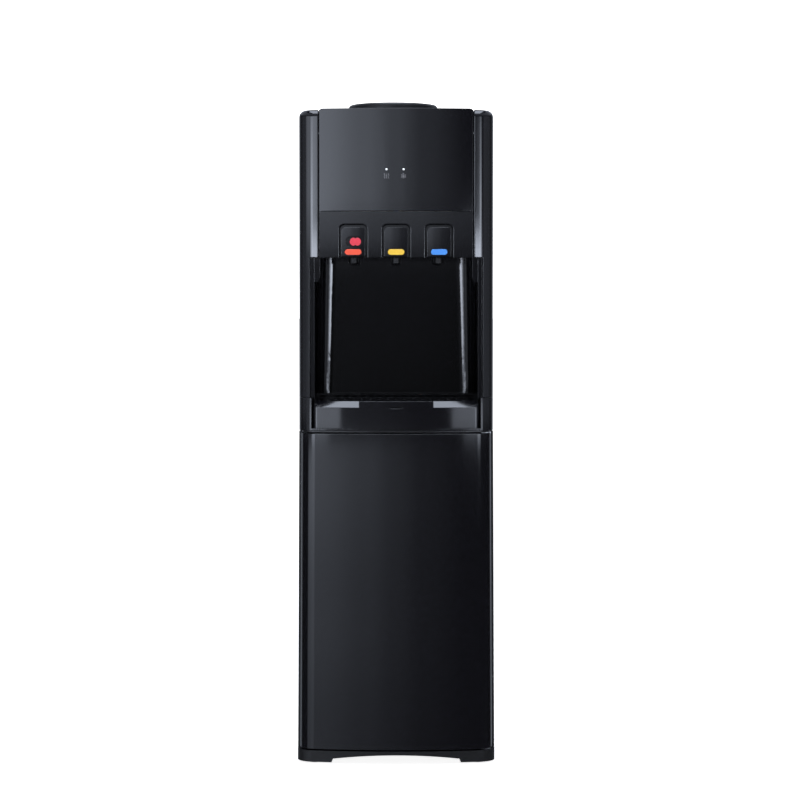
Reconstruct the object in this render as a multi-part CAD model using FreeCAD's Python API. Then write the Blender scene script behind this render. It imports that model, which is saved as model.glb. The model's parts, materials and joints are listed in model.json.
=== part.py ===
import FreeCAD, Part
import math
import os

# Free-standing top-loading water dispenser. Millimetres; the origin is on the floor under the
# middle of the machine, +Z up, the front faces -Y and +X is to the viewer's right.

V = FreeCAD.Vector

# ---- driving dimensions -------------------------------------------------------------------
HALF_WIDTH = 152.4          # upper body
LOWER_TOP_HALF = 153.0      # lower cabinet at its top edge
LOWER_FOOT_HALF = 155.7     # lower cabinet at the plinth
FRONT = -172.0              # foremost point of the bowed front
REAR_FACE = 150.0           # back face of the rear panels
CONDENSER_REAR = 172.0
BOW = 14.0                  # how far the front bows forward across its width
CORNER = 26.0               # radius of the two upright front corners
WALL = 2.5                  # moulded wall
SHEET = 1.5                 # sheet steel

PLINTH_TOP = 21.0
DOOR_BOTTOM = 24.0
DOOR_TOP = 520.0
DECK_Z = 522.2              # underside of the plate between cabinet and upper body
BAND_BOTTOM = 525.0
BAND_TOP = 576.0
ALCOVE_CEILING = 795.0
PANEL_TOP = 868.0           # button panel meets the fascia here
FASCIA_TOP = 1026.0
BODY_TOP = 1026.0
SEAT_TOP = 1044.0

SIDE_FRONT = -127.0         # front edge of the cabinet's side panels
PILLAR_BACK = -112.0
SEAM = 120.0                # half-width of the fascia
ALCOVE_HALF = 128.0
ALCOVE_BACK = -22.0
BUTTON_PITCH = 67.0
BUTTON_HALF = 18.6
BUTTON_BOTTOM = 797.0
BUTTON_TOP = 842.5
PRESS = 5.0                 # travel of a tap button

TAPS = (("hot", -BUTTON_PITCH), ("ambient", 0.0), ("cold", BUTTON_PITCH))

NODES = {}


# ---- shape helpers ------------------------------------------------------------------------
def box(x0, x1, y0, y1, z0, z1):
    return Part.makeBox(x1 - x0, y1 - y0, z1 - z0, V(x0, y0, z0))


def rod(radius, start, end):
    """A round bar between two points."""
    start = V(*start)
    run = V(*end) - start
    return Part.makeCylinder(radius, run.Length, start, run)


def tube(outer, inner, start, end):
    return rod(outer, start, end).cut(rod(inner, start, end))


def join(*shapes):
    """One solid out of touching shapes."""
    shape = shapes[0]
    for other in shapes[1:]:
        shape = shape.fuse(other)
    return shape.removeSplitter()


def group(shapes):
    return Part.makeCompound(list(shapes))


def mirrored(shape):
    return shape.mirror(V(0, 0, 0), V(1, 0, 0))


def upright_edges(shape, test):
    """Vertical straight edges whose mid-point passes the test."""
    found = []
    for edge in shape.Edges:
        ends = [v.Point for v in edge.Vertexes]
        if len(ends) == 2 and abs(ends[0].x - ends[1].x) < 0.01 and abs(ends[0].y - ends[1].y) < 0.01:
            if test(ends[0]):
                found.append(edge)
    return found


def plan_wire(half, front, back, z, corner=CORNER, bow=BOW):
    """Outline of the machine seen from above: flat back and sides, bowed front, round corners."""
    side_front = front + bow
    left, right = V(-half, side_front, z), V(half, side_front, z)
    edges = [
        Part.Arc(left, V(0, front, z), right).toShape(),
        Part.LineSegment(right, V(half, back, z)).toShape(),
        Part.LineSegment(V(half, back, z), V(-half, back, z)).toShape(),
        Part.LineSegment(V(-half, back, z), left).toShape(),
    ]
    slab = Part.Face(Part.Wire(edges)).extrude(V(0, 0, 1))
    slab = slab.makeFillet(corner, upright_edges(slab, lambda p: abs(p.y - side_front) < 0.01))
    floor = min(slab.Faces, key=lambda f: f.CenterOfMass.z)
    return floor.OuterWire


def body(half, front, back, z0, z1, corner=CORNER, bow=BOW):
    """An upright block with the machine's outline."""
    wire = plan_wire(half, front, back, z0, corner, bow)
    return Part.Face(wire).extrude(V(0, 0, z1 - z0))


def cabinet_half(z):
    """The lower cabinet widens a little towards the plinth."""
    share = (z - PLINTH_TOP) / (BAND_BOTTOM - PLINTH_TOP)
    return LOWER_FOOT_HALF + (LOWER_TOP_HALF - LOWER_FOOT_HALF) * share


def flared(inset, front, back, z0, z1, corner=CORNER):
    """A block with the outline, flared like the lower cabinet."""
    low = plan_wire(cabinet_half(z0) - inset, front, back, z0, corner)
    high = plan_wire(cabinet_half(z1) - inset, front, back, z1, corner)
    return Part.makeLoft([low, high], True, True)


def slotted(shape, slots):
    return shape.cut(group(slots))


def slot_x(x0, x1, y0, y1, z0, z1):
    """A slot through Y with round ends, lying along X."""
    radius = (z1 - z0) / 2
    middle = (z0 + z1) / 2
    ends = [rod(radius, (x, y0, middle), (x, y1, middle)) for x in (x0 + radius, x1 - radius)]
    return join(box(x0 + radius, x1 - radius, y0, y1, z0, z1), *ends)


def slot_up(x, radius, y0, y1, z0, z1):
    """A slot through Z with round ends, lying along Y."""
    ends = [rod(radius, (x, y, z0), (x, y, z1)) for y in (y0 + radius, y1 - radius)]
    return join(box(x - radius, x + radius, y0 + radius, y1 - radius, z0, z1), *ends)


def polygon(points, direction):
    points = [V(*p) for p in points]
    return Part.Face(Part.makePolygon(points + [points[0]])).extrude(V(*direction))


def rounded(shape, radius, test):
    """Fillet the edges whose centre passes the test."""
    return shape.makeFillet(radius, [e for e in shape.Edges if test(e.CenterOfMass)])


def pipe(points, radius, bend):
    """A round pipe along straight runs joined by arcs of one bend radius."""
    points = [V(*p) for p in points]
    edges = []
    here = points[0]
    for before, corner, after in zip(points, points[1:], points[2:]):
        back = (before - corner).normalize()
        on = (after - corner).normalize()
        half_turn = (math.pi - back.getAngle(on)) / 2
        reach = bend * math.tan(half_turn)
        start = corner + back * reach
        end = corner + on * reach
        inward = (back + on).normalize()
        centre = corner + inward * (bend / math.cos(half_turn))
        middle = centre - inward * bend
        edges.append(Part.LineSegment(here, start).toShape())
        edges.append(Part.Arc(start, middle, end).toShape())
        here = end
    edges.append(Part.LineSegment(here, points[-1]).toShape())
    wire = Part.Wire(edges)
    heading = points[1] - points[0]
    profile = Part.Wire(Part.makeCircle(radius, points[0], heading))
    return wire.makePipeShell([profile], True, False)


def add(name, shape):
    if name in NODES:
        raise ValueError("the node " + name + " is made twice")
    NODES[name] = shape


# ---- plinth and feet ----------------------------------------------------------------------
FOOT_WIDTH = 58.0
FOOT_DEPTH = 66.0
FOOT_SLANT = 4.0
PAD_RADIUS = 15.0
PAD_HEIGHT = 3.0
RING_BOTTOM = 9.0           # lower edge of the plinth between its feet
ARCH_PEAK = 15.0            # the front edge rises to this at the middle
ARCH_RADIUS = 790.0
BACK_EDGE = 146.0
PLINTH_INSET = 3.0
TRAY_FRONT = 28.0           # the plinth carries the compressor from here back


def plinth_foot(outline, sign, y0, y1):
    """One foot: the part of the plinth's outline beyond a slanted inner side."""
    outer = sign * (LOWER_FOOT_HALF + PLINTH_INSET)
    inner = sign * (LOWER_FOOT_HALF - FOOT_WIDTH)
    toe = inner + sign * FOOT_SLANT
    top = RING_BOTTOM + 3
    profile = [(outer, y0, PAD_HEIGHT), (toe, y0, PAD_HEIGHT), (inner, y0, top), (outer, y0, top)]
    return polygon(profile, (0, y1 - y0, 0)).common(outline)


def plinth():
    """Moulded base ring with four feet, an arched lower edge and the compressor's tray."""
    front = FRONT + PLINTH_INSET
    ring = flared(0.0, front, BACK_EDGE, RING_BOTTOM, PLINTH_TOP)
    hollow = flared(WALL + 1, front + 4, BACK_EDGE - 4, RING_BOTTOM - 1, PLINTH_TOP - 5)
    outline = flared(0.0, front, BACK_EDGE, PAD_HEIGHT, RING_BOTTOM + 3)
    feet = []
    for sign in (-1, 1):
        feet.append(plinth_foot(outline, sign, FRONT, FRONT + FOOT_DEPTH))
        feet.append(plinth_foot(outline, sign, BACK_EDGE - FOOT_DEPTH, BACK_EDGE))
    reach = LOWER_FOOT_HALF - FOOT_WIDTH
    middle = box(-reach, reach, FRONT - 5, BACK_EDGE + 5, 0, ARCH_PEAK + 1)
    axis_z = ARCH_PEAK - ARCH_RADIUS
    arch = rod(ARCH_RADIUS, (0, FRONT - 10, axis_z), (0, BACK_EDGE + 10, axis_z)).common(middle)
    tray = box(-150, 150, TRAY_FRONT, BACK_EDGE - 1, PLINTH_TOP - 5, PLINTH_TOP)
    return join(ring.cut(hollow), tray, *feet).cut(arch)


def foot_places():
    return [(x, y) for x in (-128.0, 128.0) for y in (-132.0, 122.0)]


def foot_pads():
    return group(rod(PAD_RADIUS, (x, y, 0), (x, y, PAD_HEIGHT)) for x, y in foot_places())


# ---- lower cabinet ------------------------------------------------------------------------
JAMB = 12.0
CABINET_TOP = DECK_Z


def side_panel():
    """Left steel side panel with a folded front jamb and rear lip."""
    def strip(x0, x1, y0, y1):
        low, high = cabinet_half(PLINTH_TOP), cabinet_half(CABINET_TOP)
        profile = [(-low + x0, y0, PLINTH_TOP), (-high + x0, y0, CABINET_TOP),
                   (-high + x1, y0, CABINET_TOP), (-low + x1, y0, PLINTH_TOP)]
        return polygon(profile, (0, y1 - y0, 0))
    skin = strip(0, SHEET, SIDE_FRONT, REAR_FACE - SHEET)
    jamb = strip(0, JAMB, SIDE_FRONT, SIDE_FRONT + SHEET)
    lip = strip(0, JAMB, REAR_FACE - 2 * SHEET, REAR_FACE - SHEET)
    return join(skin, jamb, lip)


LINER_HALF = 134.0
LINER_BACK = 22.0
LINER_FLOOR = 40.0
LINER_ROOF = 504.0
CATCH_X = -112.0            # magnet catch above the tub
CATCH_Z = 511.0


def cabinet_liner():
    """Tub of the storage cabinet, open to the front, with a flange behind the door."""
    shell = box(-LINER_HALF, LINER_HALF, SIDE_FRONT + 2, LINER_BACK, LINER_FLOOR, LINER_ROOF)
    shell = rounded(shell, 14.0, lambda c: c.y > SIDE_FRONT + 20)
    hollow = box(-LINER_HALF + WALL, LINER_HALF - WALL, SIDE_FRONT - 5, LINER_BACK - WALL,
                 LINER_FLOOR + WALL, LINER_ROOF - WALL)
    hollow = rounded(hollow, 11.5, lambda c: c.y > SIDE_FRONT + 20)
    flange = box(-141, 141, SIDE_FRONT + 2, SIDE_FRONT + 4, PLINTH_TOP + 1, CABINET_TOP - 1)
    pocket = box(CATCH_X - 10, CATCH_X + 10, SIDE_FRONT + 1, SIDE_FRONT + 5, CATCH_Z - 3.5, CATCH_Z + 3.5)
    return join(flange, shell).cut(hollow).cut(pocket)


def lower_rear_panel():
    """Steel back of the machinery space with rows of cooling louvres."""
    panel = box(-152, 152, REAR_FACE - SHEET + 0.1, REAR_FACE, PLINTH_TOP + 1, 330)
    louvres = []
    for row in range(6):
        for x in (-118, -38, 42):
            z = 60 + row * 18
            louvres.append(slot_x(x, x + 76, REAR_FACE - 5, REAR_FACE + 5, z, z + 5))
    opening = box(-120, -60, REAR_FACE - 5, REAR_FACE + 5, 182, 226)
    gland = rod(9.0, (GLAND_X, REAR_FACE - 5, GLAND_Z), (GLAND_X, REAR_FACE + 5, GLAND_Z))
    spout = rod(8.6, (HOT_X, REAR_FACE - 5, DRAIN_Z), (HOT_X, REAR_FACE + 5, DRAIN_Z))
    return slotted(panel, louvres + [opening, gland, spout])


GLAND_X = 120.0             # cord gland in the lower rear panel
GLAND_Z = 200.0
GLAND_BORE = 3.6
HINGE_X = 142.0
HINGE_Y = -140.0
PIN_RADIUS = 3.0
PIN_FIT = 0.06
LEAF = 1.8                  # thickness of a hinge leaf
PIN_LENGTH = 14.0
EAR = 0.8                   # thickness of the tab that is screwed to the jamb
EAR_HEIGHT = 10.0


def hinge_bracket(z, upward):
    """Steel hinge leaf fixed to the front jamb, with its pin standing into the door."""
    left, right = HINGE_X - 8, HINGE_X + 7
    leaf = box(left, right, HINGE_Y - 7, SIDE_FRONT, z, z + LEAF)
    rise = z if upward else z - EAR_HEIGHT
    ear = box(left, right, SIDE_FRONT - EAR, SIDE_FRONT, rise, rise + EAR_HEIGHT + LEAF)
    tip = z + LEAF + PIN_LENGTH if upward else z - PIN_LENGTH
    pin = rod(PIN_RADIUS, (HINGE_X, HINGE_Y, z + LEAF / 2), (HINGE_X, HINGE_Y, tip))
    return join(leaf, ear, pin)


def magnet_catch():
    """Magnet in its holder, its face standing through the flange towards the door."""
    holder = box(CATCH_X - 14, CATCH_X + 14, SIDE_FRONT + 4.2, SIDE_FRONT + 14, CATCH_Z - 5, CATCH_Z + 5)
    face = box(CATCH_X - 10, CATCH_X + 10, SIDE_FRONT - 1, SIDE_FRONT + 5, CATCH_Z - 3.5, CATCH_Z + 3.5)
    return join(holder, face)


# ---- door ---------------------------------------------------------------------------------
DOOR_INSET = 4.0
DOOR_BACK = -129.5
DOOR_WALL = 3.0
DOOR_EDGE = 6.5             # rounding of the back edges, which swing past the hinge tabs


def door_block():
    block = flared(DOOR_INSET, FRONT, DOOR_BACK, DOOR_BOTTOM, DOOR_TOP)
    return rounded(block, DOOR_EDGE, lambda c: abs(c.y - DOOR_BACK) < 0.1 and abs(c.x) > HINGE_X - 2)


def door_hollow():
    return flared(DOOR_INSET + DOOR_WALL, FRONT + DOOR_WALL, DOOR_BACK + 9,
                  DOOR_BOTTOM + DOOR_WALL, DOOR_TOP - DOOR_WALL, CORNER - DOOR_WALL)


def hinge_bore(z0, z1):
    return rod(PIN_RADIUS + PIN_FIT, (HINGE_X, HINGE_Y, z0), (HINGE_X, HINGE_Y, z1))


def door_skin():
    """Bowed, gloss outer shell of the door, with a bored block for each hinge pin."""
    skin = door_block().cut(door_hollow())
    bosses = []
    for z in (DOOR_BOTTOM + 1, DOOR_TOP - 16):
        bosses.append(box(HINGE_X - 7, HINGE_X + 4, HINGE_Y - 6, HINGE_Y + 7, z, z + 15))
    return join(skin, *bosses).cut(hinge_bore(DOOR_BOTTOM - 1, DOOR_TOP + 1))


def door_inner():
    """Flat back of the door with three stiffening ribs."""
    space = door_block().common(door_hollow())
    plate = space.common(box(-200, 200, DOOR_BACK - 3, DOOR_BACK + 1, 0, 600))
    ribs = [box(x - 1, x + 1, DOOR_BACK - 20, DOOR_BACK - 2, 60, 490) for x in (-80, 0, 80)]
    return join(plate, *ribs)


def strike_plate():
    """Thin steel plate on the door that the magnet holds."""
    half, rise = 12.0, 5.0
    plate = box(CATCH_X - half, CATCH_X + half, DOOR_BACK, DOOR_BACK + 0.9, CATCH_Z - rise, CATCH_Z + rise)
    def at_corner(c):
        return abs(abs(c.x - CATCH_X) - half) < 0.1 and abs(abs(c.z - CATCH_Z) - rise) < 0.1
    return rounded(plate, 3.0, at_corner)


# ---- deck and tray ------------------------------------------------------------------------
TRAY_HALF = 131.5
TRAY_GAP = 0.5
TRAY_BACK = -34.0
TRAY_FLOOR = 528.4
TRAY_TOP = 571.0
GRILLE_TOP = 570.6
GRILLE_HALF = 116.0
BLOCK_HALF = 58.0           # the upright middle of the tray's front
NOTCH_HALF = 10.0
NOTCH_Z = 561.5


def mid_deck():
    """Steel plate that carries the upper body."""
    plate = body(148, FRONT + 6, REAR_FACE - SHEET, DECK_Z, DECK_Z + 2.5, CORNER - 4)
    window = box(-60, 60, 92, 140, DECK_Z - 1, DECK_Z + 4)
    drain = rod(9.0, (HOT_X, HOT_Y, DECK_Z - 1), (HOT_X, HOT_Y, DECK_Z + 4))
    return plate.cut(group([window, drain]))


def tray_housing():
    """Moulded band under the alcove, with the pocket that the drip tray slides into."""
    block = body(HALF_WIDTH, FRONT + 2, -16, BAND_BOTTOM, BAND_TOP)
    side = TRAY_HALF + TRAY_GAP
    pocket = box(-side, side, FRONT - 5, TRAY_BACK + 0.6, TRAY_FLOOR - 0.4, BAND_TOP + 1)
    relief = body(HALF_WIDTH - WALL, FRONT + 5, -19, BAND_BOTTOM + 3, BAND_TOP - 3, CORNER - WALL)
    keep = box(-TRAY_HALF - 3, TRAY_HALF + 3, FRONT - 5, TRAY_BACK + 3, BAND_BOTTOM, BAND_TOP)
    shell = block.cut(relief.cut(keep)).cut(pocket)
    return rounded(shell, 1.2, lambda c: c.y < -130 and abs(abs(c.x) - side) < 0.05)


def front_bevel(front):
    """Wedge taken off the tray's front top edge at one side of its middle, following the bow."""
    high = plan_wire(TRAY_HALF - 6, front + 9, TRAY_BACK - 40, TRAY_TOP + 0.01, 6.0)
    low = plan_wire(TRAY_HALF + 4, front - 1, TRAY_BACK - 40, TRAY_TOP - 11, 12.0)
    keep = Part.makeLoft([low, high], True, True)
    zone = box(-TRAY_HALF - 9, -BLOCK_HALF, front - 9, TRAY_BACK - 60, TRAY_TOP - 11, TRAY_TOP + 0.01)
    return zone.cut(keep)


def drip_tray():
    """Drawer-like tray; its front is bevelled beside an upright middle block with a finger notch."""
    front = FRONT + 1.0
    block = body(TRAY_HALF, front, TRAY_BACK, TRAY_FLOOR, TRAY_TOP, 9.0)
    bevel = front_bevel(front)
    block = block.cut(group([bevel, mirrored(bevel)]))
    basin = body(TRAY_HALF - 4, front + 13, TRAY_BACK - 4, TRAY_FLOOR + 4, TRAY_TOP + 1, 12.0)
    block = block.cut(basin)
    ledge = body(GRILLE_HALF + 0.5, front + 15.0, TRAY_BACK - 6, GRILLE_TOP - 4.4, TRAY_TOP + 1, 12.0)
    block = block.cut(ledge)
    notch = slot_x(-NOTCH_HALF, NOTCH_HALF, front - 1, front + 3, NOTCH_Z - 1.6, NOTCH_Z + 1.6)
    rests = [box(x - 2, x + 2, front + 17, TRAY_BACK - 3, TRAY_FLOOR + 3, GRILLE_TOP - 4.4)
             for x in (-TRAY_HALF + 5, TRAY_HALF - 5)]
    return join(block.cut(notch), *rests)


def drip_grille():
    """Slotted plate over the basin."""
    front = FRONT + 16.5
    plate = body(GRILLE_HALF, front, TRAY_BACK - 7, GRILLE_TOP - 4, GRILLE_TOP, 11.5)
    slots = []
    count = 15
    pitch = 2 * (GRILLE_HALF - 14) / count
    for index in range(count):
        x = -GRILLE_HALF + 14 + pitch * (index + 0.5)
        for y0, y1 in ((front + 22, front + 58), (front + 64, TRAY_BACK - 14)):
            slots.append(slot_up(x, pitch * 0.3, y0, y1, GRILLE_TOP - 5, GRILLE_TOP + 1))
    return slotted(plate, slots)


# ---- alcove and upper shell ---------------------------------------------------------------
LINER_FRONT = -155.0
CEILING_FRONT = -141.0      # the ceiling starts behind the button wells
CHEEK = 9.0                 # thickened block at the top of each side of the alcove
CHEEK_BOTTOM = 757.0
CHEEK_DEPTH = 34.0
NOZZLE_Y = -112.0
NOZZLE_RADIUS = 8.0
NOZZLE_TIP = 787.0


def alcove_wire(z, radius):
    """Alcove in plan: open front, straight cheeks and two large round back corners."""
    half, mouth, back = ALCOVE_HALF, LINER_FRONT - 30, ALCOVE_BACK
    bend = radius * (1 - math.sqrt(0.5))
    edges = []
    corners = [V(half, mouth, z), V(half, back - radius, z),
               V(half - bend, back - bend, z), V(half - radius, back, z)]
    across = [V(-p.x, p.y, z) for p in corners]
    edges.append(Part.LineSegment(corners[0], corners[1]).toShape())
    edges.append(Part.Arc(*corners[1:]).toShape())
    edges.append(Part.LineSegment(corners[3], across[3]).toShape())
    edges.append(Part.Arc(across[3], across[2], across[1]).toShape())
    edges.append(Part.LineSegment(across[1], across[0]).toShape())
    edges.append(Part.LineSegment(across[0], corners[0]).toShape())
    return Part.Wire(edges)


def alcove_liner():
    """One-piece gloss lining of the dispensing space."""
    outer = join(box(-134, 134, LINER_FRONT, ALCOVE_BACK + 5, BAND_TOP + 0.5, ALCOVE_CEILING + 0.3),
                 box(-118, 118, CEILING_FRONT, ALCOVE_BACK + 5, ALCOVE_CEILING, ALCOVE_CEILING + 3),
                 box(-134, 134, PILLAR_BACK + 1, ALCOVE_BACK + 5, ALCOVE_CEILING, ALCOVE_CEILING + 3))
    cavity = Part.makeLoft([alcove_wire(BAND_TOP - 1, 24.0), alcove_wire(ALCOVE_CEILING, 31.0)], True, True)
    shell = outer.cut(cavity)
    reach = ALCOVE_HALF + 2
    foot = box(-reach, reach, TRAY_BACK + 1.5, ALCOVE_BACK + 2, BAND_TOP + 0.5, BAND_TOP + 2)
    blocks = []
    for sign in (-1, 1):
        wall, face = sign * (ALCOVE_HALF + 1), sign * (ALCOVE_HALF - CHEEK)
        front, top = LINER_FRONT + 4, ALCOVE_CEILING + 0.3
        profile = [(wall, front, CHEEK_BOTTOM), (face + sign * 4, front, CHEEK_BOTTOM),
                   (face, front, CHEEK_BOTTOM + 7), (face, front, top), (wall, front, top)]
        blocks.append(polygon(profile, (0, CHEEK_DEPTH, 0)))
    holes = [rod(NOZZLE_RADIUS + 2.5, (x, NOZZLE_Y, ALCOVE_CEILING - 3), (x, NOZZLE_Y, ALCOVE_CEILING + 5))
             for _, x in TAPS]
    return join(shell, foot, *blocks).cut(group(holes))


PILLAR_SPLIT = 796.0        # above this the pillar reaches in to the fascia


def pillar():
    """Left corner pillar: hollow moulding, wide beside the fascia and narrow beside the alcove."""
    outer = body(HALF_WIDTH, FRONT + 2, PILLAR_BACK, BAND_TOP + 0.6, BODY_TOP)
    outer = rounded(outer, 11.0, lambda c: c.z > BODY_TOP - 0.1 and c.x < -HALF_WIDTH + 1)
    hollow = body(HALF_WIDTH - WALL, FRONT + 2 + WALL, PILLAR_BACK + 9, BAND_TOP, BODY_TOP - 12,
                  CORNER - WALL)
    inner_high, inner_low = -SEAM - 1.0, -135.4
    shell = outer.cut(hollow.common(box(-200, inner_high - WALL, -200, -50, PILLAR_SPLIT + WALL, BODY_TOP)))
    shell = shell.cut(hollow.common(box(-200, inner_low - WALL, -200, -50, 0, PILLAR_SPLIT + WALL + 1)))
    keep = join(box(-160, inner_high, -180, PILLAR_BACK, PILLAR_SPLIT, BODY_TOP + 1),
                box(-160, inner_low, -180, PILLAR_BACK, BAND_TOP, PILLAR_SPLIT + 1))
    shell = shell.common(keep)
    return rounded(shell, 2.0, lambda c: c.y < -156 and abs(c.x - inner_high) < 0.05 and 850 < c.z < 1000)


SIDE_TOP = 1011.0


def upper_side():
    """Left steel side of the upper body, with a folded rear lip."""
    rear = REAR_FACE - SHEET
    skin = box(-HALF_WIDTH, -HALF_WIDTH + SHEET, PILLAR_BACK + 0.5, rear, BAND_BOTTOM, SIDE_TOP)
    notch = box(-HALF_WIDTH - 1, -HALF_WIDTH + 5, PILLAR_BACK - 1, -15.5, BAND_BOTTOM - 1, BAND_TOP + 0.5)
    lip = box(-HALF_WIDTH, -HALF_WIDTH + 12, rear - SHEET, rear, BAND_BOTTOM, SIDE_TOP)
    return join(skin.cut(notch), lip)


SEAT_X = -5.0
SEAT_Y = -10.0
SEAT_HOLE = 78.0
LID_BOTTOM = 1011.5


def top_cover():
    """Moulded lid with rounded side edges and the round opening for the bottle seat."""
    rear = box(-HALF_WIDTH, HALF_WIDTH, PILLAR_BACK + 0.5, REAR_FACE, LID_BOTTOM, BODY_TOP)
    rear = rounded(rear, 10.5, lambda c: c.z > BODY_TOP - 0.1 and abs(c.x) > HALF_WIDTH - 1)
    front = box(-SEAM - 0.4, SEAM + 0.4, -156, PILLAR_BACK + 1, LID_BOTTOM, BODY_TOP)
    inside = HALF_WIDTH - 4
    under = box(-inside, inside, PILLAR_BACK + 4, REAR_FACE - 3, LID_BOTTOM - 1, BODY_TOP - 3)
    under_front = box(-SEAM + 3, SEAM - 3, -153, PILLAR_BACK + 5, LID_BOTTOM - 1, BODY_TOP - 3)
    collar = tube(SEAT_HOLE + 3, SEAT_HOLE, (SEAT_X, SEAT_Y, LID_BOTTOM), (SEAT_X, SEAT_Y, BODY_TOP))
    hole = rod(SEAT_HOLE, (SEAT_X, SEAT_Y, LID_BOTTOM - 5), (SEAT_X, SEAT_Y, BODY_TOP + 5))
    rear = join(rear, front).cut(join(under, under_front))
    return join(rear, collar).cut(hole)


LAMP_Z = 932.5
LAMP_X = (-15.0, 11.6)
LAMP_RADIUS = 1.5
LAMP_GAP = 0.1


def fascia():
    """Bowed gloss panel between the pillars, with a return along its top."""
    bar = body(HALF_WIDTH, FRONT + 4, -100, PANEL_TOP, FASCIA_TOP + 1.5)
    hollow = body(HALF_WIDTH - WALL, FRONT + 4 + WALL, -90, PANEL_TOP - 1, FASCIA_TOP + 3, CORNER)
    shell = bar.cut(hollow).common(box(-SEAM, SEAM, -180, -157, 0, 1100))
    shell = rounded(shell, 5.0, lambda c: abs(c.x) > SEAM - 0.1 and c.z > FASCIA_TOP + 1)
    holes = [rod(LAMP_RADIUS + LAMP_GAP, (x, -180, LAMP_Z), (x, -140, LAMP_Z)) for x in LAMP_X]
    return shell.cut(group(holes))


def lamp_board():
    """Small circuit board behind the fascia with the two lamps' sockets."""
    board = box(-34, 30, -158, -156.4, LAMP_Z - 14, LAMP_Z + 10)
    sockets = [rod(3.0, (x, -160.2, LAMP_Z), (x, -157.5, LAMP_Z)) for x in LAMP_X]
    plug = box(-30, -22, -156.6, -150, LAMP_Z - 10, LAMP_Z)
    return join(board, plug, *sockets)


def lamps():
    """Round light guides, just proud of the fascia."""
    return group(rod(LAMP_RADIUS, (x, -168.1, LAMP_Z), (x, -160.3, LAMP_Z)) for x in LAMP_X)


# ---- taps ---------------------------------------------------------------------------------
PANEL_FRONT = -160.5
PANEL_BOW = 2.0             # the button panel is flatter than the fascia above it
BUTTON_FRONT = -166.0
BUTTON_BACK = -152.0
WELL_GAP = 3.0
WELL_EDGE = 1.6             # rounding of the wells' front edges
WELL_FLOOR = BUTTON_BACK + PRESS + 2
STEM_RADIUS = 4.0
STEM_END = -136.0
SPRING_Z = 818.0
MARKER_Z = 804.0
MARKER_HALF = 12.8
MARKER_RISE = 4.4
LOCK_X = -63.5
LOCK_Z = 820.0
LOCK_TRAVEL = 6.0


def on_well_rim(c):
    """True at the middle of an edge where a well meets the front of the button panel."""
    if c.y > PANEL_FRONT + PANEL_BOW or not ALCOVE_CEILING + 4 < c.z < BUTTON_TOP + 5:
        return False
    return any(abs(c.x - x) < BUTTON_HALF + WELL_GAP + 0.5 for _, x in TAPS)


def button_panel():
    """Flatter panel below the fascia, with an open-bottomed well for each button."""
    plate = body(HALF_WIDTH, PANEL_FRONT, -100, ALCOVE_CEILING + 0.6, PANEL_TOP - 0.4, CORNER, PANEL_BOW)
    plate = plate.common(box(-SEAM, SEAM, -180, PANEL_FRONT + 13, 0, 1100))
    hollow = body(HALF_WIDTH, PANEL_FRONT + 3, -100, ALCOVE_CEILING + 3.5, PANEL_TOP - 3, CORNER, PANEL_BOW)
    plate = plate.cut(hollow.common(box(-SEAM + 3, SEAM - 3, -180, -100, 0, 1100)))
    wells = []
    floors = []
    for _, x in TAPS:
        half = BUTTON_HALF + WELL_GAP
        mouth = box(x - half, x + half, -180, WELL_FLOOR, ALCOVE_CEILING - 3, BUTTON_TOP + 4.5)
        mouth = rounded(mouth, 8.0, lambda c, x=x: c.z > BUTTON_TOP + 4 and abs(c.x - x) > half - 0.1)
        floors.append(box(x - half - 2, x + half + 2, PANEL_FRONT + 2, WELL_FLOOR + 2,
                          ALCOVE_CEILING + 0.6, BUTTON_TOP + 6.5))
        wells.append(mouth)
        bore = rod(STEM_RADIUS + PIN_FIT, (x, WELL_FLOOR - 5, SPRING_Z), (x, WELL_FLOOR + 5, SPRING_Z))
        wells.append(bore)
    panel = join(plate, *floors).cut(group(wells))
    return panel.makeFillet(WELL_EDGE, [e for e in panel.Edges if on_well_rim(e.CenterOfMass)])


def tap_button(x, locked):
    """Convex push button with round upper corners, a pocket for its colour bar and a guide stem."""
    crown = 1.0
    low, high = BUTTON_BOTTOM, BUTTON_TOP
    left, right = x - BUTTON_HALF, x + BUTTON_HALF
    front = BUTTON_FRONT + crown
    corners = [V(right, front, low), V(right, BUTTON_BACK, low),
               V(left, BUTTON_BACK, low), V(left, front, low)]
    outline = [Part.LineSegment(a, b).toShape() for a, b in zip(corners, corners[1:])]
    outline.append(Part.Arc(corners[3], V(x, BUTTON_FRONT, low), corners[0]).toShape())
    cap = Part.Face(Part.Wire(outline)).extrude(V(0, 0, high - low))
    cap = rounded(cap, 6.5, lambda c: c.z > high - 0.1 and abs(c.x - x) > BUTTON_HALF - 0.1)
    stem = rod(STEM_RADIUS, (x, BUTTON_BACK - 1, SPRING_Z), (x, STEM_END, SPRING_Z))
    cap = join(cap, stem).cut(marker_shape(x, 0.0))
    if locked:
        recess = slot_x(LOCK_X - 9.0 - LOCK_TRAVEL, LOCK_X + 10.0, BUTTON_FRONT - 2, BUTTON_FRONT + 5,
                        LOCK_Z - 8, LOCK_Z + 8)
        cap = cap.cut(recess)
    return cap


def marker_shape(x, proud):
    return slot_x(x - MARKER_HALF, x + MARKER_HALF, BUTTON_FRONT - 0.4 - proud, BUTTON_FRONT + 3.5,
                  MARKER_Z - MARKER_RISE, MARKER_Z + MARKER_RISE)


def tap_marker(x):
    """Coloured bar set into the lower end of the button."""
    return marker_shape(x, 0.3)


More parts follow.
